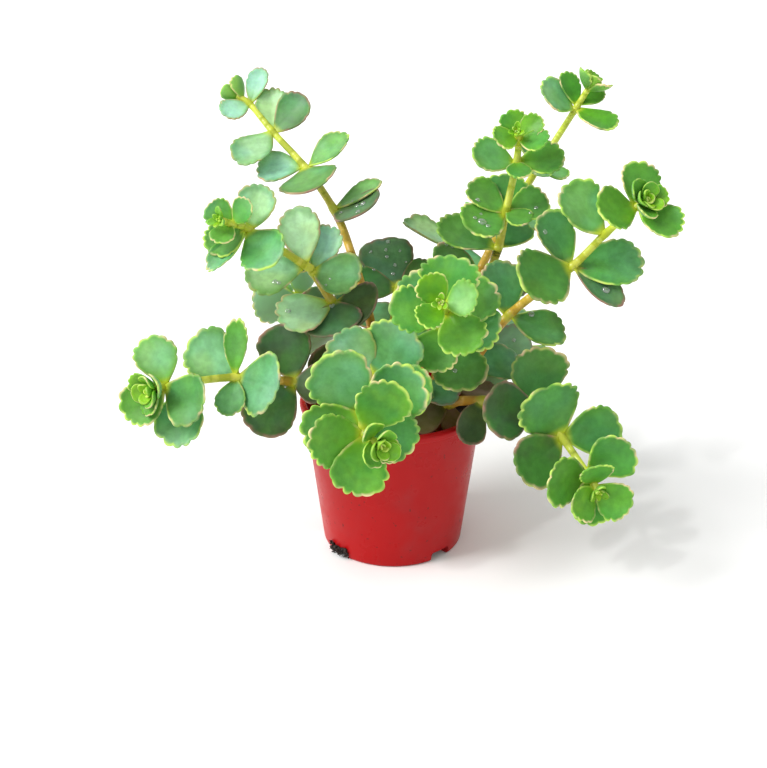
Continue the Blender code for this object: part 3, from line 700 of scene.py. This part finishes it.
def leaf_axes(axis, turn, pitch):
    """The leaf's direction from the stem, its upper face's normal, and its width direction."""
    first = (RIGHT - axis * RIGHT.dot(axis)).normalized()
    second = axis.cross(first)
    turn, pitch = radians(turn), radians(pitch)
    out = first * cos(turn) + second * sin(turn)
    ahead = axis * cos(pitch) + out * sin(pitch)
    face = axis * sin(pitch) - out * cos(pitch)
    return ahead, face, face.cross(ahead)


def leaf_edge(length, width, angle):
    """A point of a leaf's smooth edge as (along, across), at an angle from its tip."""
    back = (1 - cos(angle)) / 2
    along = length * (1 - back)
    across = width * LEAF_FULLNESS * sin(angle) * (1 - LEAF_TAPER * back**2)
    return along, across / (1 - LEAF_TAPER * 0.14)


def leaf_lift(length, width, along, across, cup):
    """How far the blade rises towards the stem's tip: the sides and the far end curl up."""
    side = across / (0.5 * width)
    end = max(0.0, along / length - 0.35) / 0.65
    return length * cup * (side * side + 0.7 * end * end)


def stem_leaves(stem):
    """Every leaf of a stem as (root, axis, turn, pitch, length, width, cup) and its height: the
    share of the way up the whorls, or more than 1 in the bud."""
    name, _, _, whorls, _, bud_size = stem
    route, whorl_at = stem_route(stem, STEM_STEP)
    leaves = []
    for number, (index, whorl) in enumerate(zip(whorl_at, whorls)):
        _, share, pitch, blades = whorl
        along = direction_at(route, index)
        axis = along.lerp(LIGHT, share).normalized()
        height = number / max(1, len(whorls) - 1)
        for step, (turn, length, width) in enumerate(blades):
            root = route[index] + along * STAGGER * (step - 1)
            more_turn, more_pitch, size = NUDGES.get((name, len(leaves)), (0, 0, 1))
            pose = (turn + more_turn, pitch + more_pitch, length * size, width * size)
            leaves.append(((root, axis, *pose, LEAF_CUP), height))
    along = direction_at(route, len(route) - 1)
    root = route[-1] - along * BUD_SINK
    rings = ((1.0, BUD_PITCH + 2 * bud_size, 90.0, 3), *HEART_RINGS)
    narrow = SMALL_BUD_WIDTH if bud_size < SMALL_BUD else LARGE_BUD_WIDTH
    for number, (share, pitch, first_turn, count) in enumerate(rings):
        uneven = HEART_UNEVEN if number else 0.0
        for step in range(count):
            turn = first_turn + 360 / count * step
            size = share * bud_size * (1 + uneven * (step - 1))
            more_pitch = 60 * uneven * (step - 1)
            width = size * (0.6 + 0.4 * share) * narrow
            leaf = (root, along, turn, pitch + more_pitch, size, width, BUD_CUP * share * narrow)
            leaves.append((leaf, BUD_HEIGHT + BUD_HEIGHT_STEP * number))
    smallest, largest = INNER_RING_BUDS
    if smallest < bud_size < largest:
        share, pitch, cup = INNER_RING
        size = share * bud_size
        root = (route[whorl_at[-1]] + route[-1]) / 2
        for turn, _, _ in whorls[-1][3]:
            leaf = (root, along, turn + 60, pitch, size, 0.9 * size, cup)
            leaves.append((leaf, RING_HEIGHT))
    return leaves


class LeafMaker:
    """Adds leaves to a bmesh, with the marks on their points that the leaf material reads."""

    MARKS = ("age", "bloom", "dry", "tint", "rim", "reach", "under")

    def __init__(self, bm, seed):
        self.bm = bm
        self.draw = random.Random(seed)
        self.balls = {}
        for mark in self.MARKS:
            bm.verts.layers.float.new(mark)

    def add_ball(self, steps, rings):
        """Adds a ball of one millimetre to the bmesh and gives its points."""
        if (steps, rings) not in self.balls:
            ball = bmesh.new()
            bmesh.ops.create_uvsphere(ball, u_segments=steps, v_segments=rings, radius=1.0)
            self.balls[steps, rings] = mesh_of(ball, "ball")
        first = len(self.bm.verts)
        self.bm.from_mesh(self.balls[steps, rings])
        self.bm.verts.ensure_lookup_table()
        return self.bm.verts[first:]

    def add(self, leaf, age, bloom, dry=0.0, wave=1.0, rise=0.0):
        """One leaf: a ball that is pressed flat, its equator drawn out to the leaf's edge. Its tip
        stands rise millimetres off the leaf's plane."""
        settings = bpy.context.scene.daphne_leaf
        root, axis, turn, pitch, length, width, cup = leaf
        ahead, face, side = leaf_axes(axis, turn, pitch)
        large = length > LARGE_LEAF
        draw = self.draw
        spacing = settings.tooth_spacing * draw.uniform(0.9, 1.15) * (1.0 if large else 1.4)
        phase = draw.uniform(0.3, 0.7)
        blunt = length <= BLUNT_LEAF
        depth = settings.tooth_depth * max(0.15, 1.3 - 1.15 * age) * (0.2 if blunt else 1.0)
        bites = [draw.choice((0.4, 0.75, 1.0, 1.25)) for _ in range(40)]
        fold = draw.uniform(0.0, 0.09) * wave
        wave *= draw.uniform(0.012, 0.035) * length
        wave_turn = draw.uniform(0, 2 * pi)
        lean = draw.uniform(-0.05, 0.05)
        tint = draw.uniform(0.0, 1.0)
        middle = 0.5 * length
        steps = settings.steps if large else settings.steps // 2
        rim_share = 1.0 if large else 0.955 if blunt else 0.985
        verts = self.add_ball(steps, 10 if large else 8)
        layers = [self.bm.verts.layers.float[mark] for mark in self.MARKS]
        for vert in verts:
            x, y, z = vert.co
            out = min(1.0, hypot(x, y))
            angle = atan2(y, x)
            edge_along, edge_across = leaf_edge(length, width, angle)
            sway = sin(3 * angle + wave_turn)
            step = degrees(angle) / spacing + phase + 0.22 * sway
            fade = 1 - smooth_step(75, 120, abs(degrees(angle)))
            notch = (1 - abs(sin(pi * step)) ** 0.7) * fade * bites[round(step)]
            hollow = 0.02 * (1 + sin(2 * angle + 5 * wave_turn)) * fade
            scale = out * (1 - (depth * notch + hollow) * out**4)
            along = middle + (edge_along - middle) * scale
            across = edge_across * scale
            lift = leaf_lift(length, width, along, across, cup)
            lift += wave * out**3 * sway + lean * across + fold * abs(across) * out
            lift += rise * along / length
            groove = exp(-((across / 0.9) ** 2)) * max(0.0, 1 - along / length)
            bead = exp(-(((out - 0.94) / 0.06) ** 2))
            half = LEAF_EDGE / 2 + (LEAF_MIDDLE - LEAF_EDGE) / 2 * (1 - out * out)
            half *= abs(z) ** 0.35 * min(1.0, 0.5 + length / 18)
            if z > 0:
                lift += half - 0.18 * groove + 0.14 * bead
            else:
                lift -= half
            vert.co = root + ahead * along + side * across + face * lift
            # The rim mark is raised at the notches, so the stronger rim colour there is a painted
            # highlight.
            rim = rim_share * (out + 0.03 * notch)
            marks = (age, bloom, dry, tint, rim, along / length, 0.5 - 0.5 * z)
            for layer, mark in zip(layers, marks):
                vert[layer] = mark


def add_stalk(bm, stem):
    """The stalk: a disc pushed along the stem's route, thicker where leaves grow."""
    look = bpy.context.scene.daphne_stalk
    rise = bm.verts.layers.float.new("rise")
    joint = bm.verts.layers.float.new("joint")
    route, whorl_at = stem_route(stem, STALK_STEP)
    nodes = [route[index] for index in whorl_at]
    last = len(route) - 1
    bmesh.ops.create_circle(bm, cap_ends=True, segments=look.sides, radius=1.0)
    end = next(iter(bm.faces))
    disc = [vert.co.copy() for vert in end.verts]
    across = Vector((1, 0, 0))
    for index, point in enumerate(route):
        if index:
            made = bmesh.ops.extrude_face_region(bm, geom=[end])
            end = next(item for item in made["geom"] if isinstance(item, bmesh.types.BMFace))
        along = direction_at(route, index)
        across = (across - along * across.dot(along)).normalized()
        turned = Matrix((across, along.cross(across), along)).transposed()
        near = min((point - node).length for node in nodes)
        swell = exp(-((near / NODE_REACH) ** 2))
        radius = STEM_BASE_RADIUS + (STEM_TIP_RADIUS - STEM_BASE_RADIUS) * index / last
        radius *= 1 + look.node_swelling * swell
        for vert, place in zip(end.verts, disc):
            vert.co = point + turned @ (place * radius)
            vert[rise] = index / last
            vert[joint] = swell
    bmesh.ops.recalc_face_normals(bm, faces=bm.faces)
    for face in bm.faces:
        face.material_index = 1


def spin_profile(bm, profile, steps):
    """Turns a section, as (radius, height), round the middle into a closed shape."""
    verts = [bm.verts.new((radius, 0.0, height)) for radius, height in profile]
    edges = [bm.edges.new(pair) for pair in zip(verts, verts[1:])]
    bmesh.ops.spin(
        bm, geom=verts + edges, cent=(0, 0, 0), axis=(0, 0, 1), angle=2 * pi, steps=steps,
        use_merge=True,
    )
    bmesh.ops.remove_doubles(bm, verts=bm.verts, dist=0.001)
    bmesh.ops.recalc_face_normals(bm, faces=bm.faces)


def pot_profile():
    """The pot's section as (radius, height), up the outside, over the lip and down the inside."""
    inner_top = POT_TOP_RADIUS - POT_WALL
    inner_base = POT_BASE_RADIUS - POT_WALL
    under_lip = POT_HEIGHT - LIP_HEIGHT
    slope = (POT_TOP_RADIUS - 0.2 - POT_BASE_RADIUS) / (under_lip - POT_EDGE)
    wall = [(POT_BASE_RADIUS + slope * (height - POT_EDGE), height) for height in (3.3, 4.0, 5.0)]
    return [
        (0.0, 0.0), (POT_BASE_RADIUS - POT_EDGE, 0.0), (POT_BASE_RADIUS, POT_EDGE), *wall,
        (POT_TOP_RADIUS - 0.2, under_lip), (LIP_RADIUS - 0.3, under_lip + 0.3),
        (LIP_RADIUS, POT_HEIGHT - 0.6), (LIP_RADIUS - 0.5, POT_HEIGHT),
        (inner_top + 0.4, POT_HEIGHT), (inner_top, POT_HEIGHT - 0.5),
        (inner_base, POT_FLOOR + 0.5), (inner_base - 0.5, POT_FLOOR), (0.0, POT_FLOOR),
    ]


def round_rings(bm, offset):
    """Rounds the pot's edges that run round it."""
    rings = []
    for edge in bm.edges:
        low, high = edge.verts
        level = abs(low.co.z - high.co.z) < 0.001
        if level and len(edge.link_faces) == 2 and edge.calc_face_angle() > 0.3:
            rings.append(edge)
    round_edges(bm, rings, offset, 3)


def cut_drains(bm):
    """Cuts the drain slots round the bottom corner out of the pot."""
    reach = POT_BASE_RADIUS + 4.0 - DRAIN_INNER_RADIUS
    shell = show("pot_shell", bpy.data.meshes.new("pot_shell"))
    bm.to_mesh(shell.data)
    cutters = []
    for index in range(DRAIN_COUNT):
        slot = bmesh.new()
        bmesh.ops.create_cube(slot, size=1.0)
        bmesh.ops.scale(slot, vec=(reach, DRAIN_WIDTH, 2 * DRAIN_HEIGHT), verts=slot.verts)
        round_edges(slot, slot.edges, DRAIN_ROUNDING, 4)
        bmesh.ops.translate(slot, vec=(DRAIN_INNER_RADIUS + reach / 2, 0, 0), verts=slot.verts)
        turn = radians(DRAIN_FIRST_TURN + 360 * index / DRAIN_COUNT)
        around = Matrix.Rotation(turn, 3, "Z")
        bmesh.ops.rotate(slot, cent=(0, 0, 0), matrix=around, verts=slot.verts)
        cutter = show("drain", mesh_of(slot, "drain"))
        cut = shell.modifiers.new("drain", "BOOLEAN")
        cut.operation = "DIFFERENCE"
        cut.object = cutter
        cutters.append(cutter)
    graph = bpy.context.evaluated_depsgraph_get()
    bm.clear()
    bm.from_mesh(bpy.data.meshes.new_from_object(shell.evaluated_get(graph)))
    for obj in (shell, *cutters):
        bpy.data.objects.remove(obj)


def soil_height(x, y):
    """The soil's top: a low mound with small lumps."""
    spread = hypot(x, y) / POT_TOP_RADIUS
    lumps = sin(0.9 * x + 0.4) * cos(0.8 * y - 0.7) + 0.6 * sin(0.5 * x + 1.3 * y)
    return SOIL_TOP + SOIL_RELIEF * (0.5 - spread * spread + 0.5 * lumps)


def pot_inner_radius(height):
    share = (height - POT_EDGE) / (POT_HEIGHT - LIP_HEIGHT - POT_EDGE)
    return POT_BASE_RADIUS - POT_WALL + share * (POT_TOP_RADIUS - POT_BASE_RADIUS - 0.2)


def add_crumb(bm, draw, place, size):
    """One angular crumb of soil."""
    made = bmesh.ops.create_icosphere(bm, subdivisions=1, radius=size)
    turn = Matrix.Rotation(draw.uniform(0, 6.28), 3, Vector((draw.random(), draw.random(), 1)))
    flat = Vector((1.0, draw.uniform(0.5, 1.0), draw.uniform(0.4, 0.9)))
    for vert in made["verts"]:
        rough = draw.uniform(0.75, 1.2)
        vert.co = place + turn @ (vert.co * flat * rough)


def add_rootlet(bm, start, way):
    """One thin root that pokes out along the way."""
    turned = way.to_track_quat("Z", "Y").to_matrix()
    made = bmesh.ops.create_cone(
        bm, cap_ends=True, segments=6, radius1=0.2, radius2=0.06, depth=ROOTLET_LENGTH
    )
    for vert in made["verts"]:
        vert.co = start + turned @ (vert.co + Vector((0, 0, 0.5 * ROOTLET_LENGTH)))


def pixel_ray(x, y):
    """The direction from the camera through a pixel of its frame."""
    right, up, back = camera_axes()
    across = (x - FRAME_WIDTH / 2) / CAMERA_FOCAL
    rise = (FRAME_HEIGHT / 2 - y) / CAMERA_FOCAL
    return (right * across + up * rise - back).normalized()


def camera_axes():
    """The camera's right, up and backward directions."""
    tilt = radians(CAMERA_ELEVATION)
    right = Vector((1, 0, 0))
    back = Vector((0, -cos(tilt), sin(tilt)))
    return right, back.cross(right), back


def add_light(name, towards, softness, strength):
    """A far light that shines from a direction, softness degrees wide."""
    light = bpy.data.lights.new(name, "SUN")
    light.angle = radians(softness)
    light.energy = strength
    show(name, light).rotation_euler = Vector(towards).to_track_quat("Z", "Y").to_euler()


# Operators


class DAPHNE_OT_pot(bpy.types.Operator):
    """Makes the thin-walled red pot with its drain slots"""

    bl_idname = "daphne.pot"
    bl_label = "Pot"

    def execute(self, context):
        settings = context.scene.daphne_pot
        bm = bmesh.new()
        spin_profile(bm, pot_profile(), settings.steps)
        round_rings(bm, settings.edge_radius / MM)
        cut_drains(bm)
        pot = finish_piece(bm, "nursery_pot", [pot_material()], "pot")
        pot.data.set_sharp_from_angle(angle=radians(40))
        return {"FINISHED"}


class DAPHNE_OT_soil(bpy.types.Operator):
    """Fills the pot with lumpy dark soil"""

    bl_idname = "daphne.soil"
    bl_label = "Soil"

    def execute(self, context):
        settings = context.scene.daphne_soil
        floor = POT_FLOOR + SOIL_GAP
        gap = SOIL_GAP + 0.15
        base = pot_inner_radius(floor) - gap - 0.3
        top = pot_inner_radius(SOIL_TOP - 1.0) - gap
        profile = [(0.0, floor), (base, floor)]
        profile += [(top - 0.03 * index * top, SOIL_TOP) for index in range(SOIL_RINGS)]
        profile.append((0.0, SOIL_TOP))
        bm = bmesh.new()
        spin_profile(bm, profile, 120)
        for vert in bm.verts:
            if vert.co.z > floor + 1:
                x, y, _ = vert.co
                grain = noise.fractal(vert.co * 0.55, 0.7, 2.2, 4) * settings.lump_height / MM
                vert.co.z = soil_height(x, y) + grain
        finish_piece(bm, "potting_soil", [soil_material()], "soil")
        return {"FINISHED"}


class DAPHNE_OT_crumbs(bpy.types.Operator):
    """Strews crumbs over the soil and in the drain slot at the front"""

    bl_idname = "daphne.crumbs"
    bl_label = "Crumbs"

    def execute(self, context):
        draw = random.Random(7)
        bm = bmesh.new()
        reach = pot_inner_radius(SOIL_TOP) - 1.2
        for _ in range(context.scene.daphne_soil.crumb_count):
            radius = reach * sqrt(draw.random())
            turn = draw.uniform(0, 2 * pi)
            size = draw.choice((0.35, 0.5, 0.7, 1.0))
            x = radius * cos(turn)
            y = radius * sin(turn)
            add_crumb(bm, draw, Vector((x, y, soil_height(x, y) + 0.35 * size)), size)
        for _ in range(SLOT_CRUMBS):
            turn = radians(DRAIN_FIRST_TURN + draw.uniform(-10.0, 10.0))
            radius = draw.uniform(POT_BASE_RADIUS - 3.0, POT_BASE_RADIUS + 1.2)
            size = draw.choice((0.25, 0.4, 0.7))
            height = draw.uniform(size * 1.2, 3.6)
            place = Vector((radius * cos(turn), radius * sin(turn), height))
            add_crumb(bm, draw, place, size)
        for _ in range(SLOT_ROOTLETS):
            turn = radians(DRAIN_FIRST_TURN + draw.uniform(-9.0, 9.0))
            start = Vector((cos(turn), sin(turn), 0)) * (POT_BASE_RADIUS - 1.0)
            start.z = draw.uniform(1.4, 2.8)
            way = Vector((cos(turn), sin(turn), draw.uniform(-0.1, 0.5)))
            add_rootlet(bm, start, way + 0.5 * Vector((draw.random(), draw.random(), 0)))
        finish_piece(bm, "soil_crumbs", [soil_material()])
        return {"FINISHED"}


class DAPHNE_OT_stems(bpy.types.Operator):
    """Grows the leafy stems"""

    bl_idname = "daphne.stems"
    bl_label = "Stems"

    def execute(self, context):
        materials = [leaf_material(), stalk_material()]
        for number, stem in enumerate(STEMS):
            name = stem[0]
            oldest, youngest, bloom = STEM_LOOKS[name]
            bm = bmesh.new()
            add_stalk(bm, stem)
            maker = LeafMaker(bm, number)
            for place, (leaf, height) in enumerate(stem_leaves(stem)):
                if height > 1:
                    share = max(0.0, 1.6 - height)
                    age = 0.9 * youngest * share - 0.5 * (height - BUD_HEIGHT)
                    looks = {"age": age, "bloom": 0.5 * bloom * share}
                else:
                    age = oldest + (youngest - oldest) * height
                    age += maker.draw.uniform(-0.06, 0.06)
                    looks = {"age": age, "bloom": bloom * (1 - 0.7 * height)}
                for what, changes in LEAF_LOOKS.items():
                    if place in changes.get(name, ()):
                        looks[what] = changes[name][place]
                maker.add(leaf, **looks)
            route, _ = stem_route(stem, 1.0)
            for carrier, height, share, *shape, dry in FOOT_LEAVES:
                if carrier == name:
                    root = next(point for point in route if point.z > height)
                    axis = Vector((0, 0, 1)).lerp(LIGHT, share).normalized()
                    maker.add((root, axis, *shape, LEAF_CUP), age=1.0, bloom=0.0, dry=dry)
            finish_piece(bm, "leafy_stem_" + name, materials, "stem_" + name)
        return {"FINISHED"}


class DAPHNE_OT_drops(bpy.types.Operator):
    """Sets drops of water on the leaves where they are seen"""

    bl_idname = "daphne.drops"
    bl_label = "Water drops"

    def execute(self, context):
        leaves = bmesh.new()
        for stem in STEMS:
            leaves.from_mesh(bpy.data.objects["leafy_stem_" + stem[0]].data)
        tree = BVHTree.FromBMesh(leaves)
        leaves.free()
        bm = bmesh.new()
        for x, y, size in DROPS:
            radius = size * context.scene.daphne_leaf.drop_size
            spot, normal, _, _ = tree.ray_cast(CAMERA_PLACE * MM, pixel_ray(x, y))
            if spot is None:
                continue
            made = bmesh.ops.create_uvsphere(bm, u_segments=28, v_segments=18, radius=radius)
            flat = Matrix.Diagonal((1, 1, 0.5))
            turned = normal.to_track_quat("Z", "Y").to_matrix() @ flat
            for vert in made["verts"]:
                vert.co = spot / MM + normal * 0.1 * radius + turned @ vert.co
        finish_piece(bm, "water_drops", [water_material()])
        return {"FINISHED"}


class DAPHNE_OT_stage(bpy.types.Operator):
    """Sets up the floor, the soft studio light and the camera"""

    bl_idname = "daphne.stage"
    bl_label = "Stage"

    def execute(self, context):
        scene = context.scene
        settings = scene.daphne_stage
        bm = bmesh.new()
        bmesh.ops.create_grid(bm, x_segments=1, y_segments=1, size=3.0)
        mesh = mesh_of(bm, "studio_floor")
        mesh.materials.append(floor_material())
        floor = show("studio_floor", mesh)
        world = bpy.data.worlds.new("soft_sky")
        world.use_nodes = True
        sky = world.node_tree.nodes["Background"]
        sky.inputs["Color"].default_value = (1, 1, 1, 1)
        sky.inputs["Strength"].default_value = settings.sky_strength
        scene.world = world
        add_light("key_light", (-0.72, -0.2, 0.66), 30.0, settings.key_strength)
        add_light("glint_light", (-0.45, -0.55, 0.7), 3.0, settings.glint_strength)
        camera = bpy.data.cameras.new("camera")
        camera.sensor_fit = "HORIZONTAL"
        camera.sensor_width = SENSOR_WIDTH
        camera.lens = CAMERA_FOCAL * SENSOR_WIDTH / FRAME_WIDTH
        camera.clip_start = 0.01
        viewer = show("camera", camera)
        turned = Matrix(camera_axes()).transposed().to_4x4()
        viewer.matrix_world = Matrix.Translation(CAMERA_PLACE * MM) @ turned
        scene.camera = viewer
        scene.view_settings.view_transform = "Standard"
        return {"FINISHED"}


class DAPHNE_PT_panel(bpy.types.Panel):
    """Lists the pieces of the potted daphne"""

    bl_idname = "DAPHNE_PT_panel"
    bl_label = "Potted October Daphne"
    bl_space_type = "VIEW_3D"
    bl_region_type = "UI"
    bl_category = "Daphne"

    def draw(self, context):
        for operator in OPERATORS:
            self.layout.operator(operator.bl_idname)
        for name in SETTINGS:
            box = self.layout.box()
            group = getattr(context.scene, name)
            for key in group.bl_rna.properties.keys():
                if key not in ("rna_type", "name"):
                    box.prop(group, key)


SETTINGS = {
    "daphne_leaf": DaphneLeafSettings,
    "daphne_stalk": DaphneStalkSettings,
    "daphne_pot": DaphnePotSettings,
    "daphne_soil": DaphneSoilSettings,
    "daphne_stage": DaphneStageSettings,
}
OPERATORS = (
    DAPHNE_OT_pot, DAPHNE_OT_soil, DAPHNE_OT_crumbs,
    DAPHNE_OT_stems, DAPHNE_OT_drops, DAPHNE_OT_stage,
)


def register():
    for name, group in SETTINGS.items():
        bpy.utils.register_class(group)
        setattr(bpy.types.Scene, name, PointerProperty(type=group))
    for item in (*OPERATORS, DAPHNE_PT_panel):
        bpy.utils.register_class(item)


def unregister():
    for item in (DAPHNE_PT_panel, *reversed(OPERATORS)):
        bpy.utils.unregister_class(item)
    for name, group in reversed(SETTINGS.items()):
        delattr(bpy.types.Scene, name)
        bpy.utils.unregister_class(group)


def main():
    register()
    bpy.ops.daphne.pot()
    bpy.ops.daphne.soil()
    bpy.ops.daphne.crumbs()
    bpy.ops.daphne.stems()
    bpy.ops.daphne.drops()
    bpy.ops.daphne.stage()


if __name__ == "__main__":
    main()
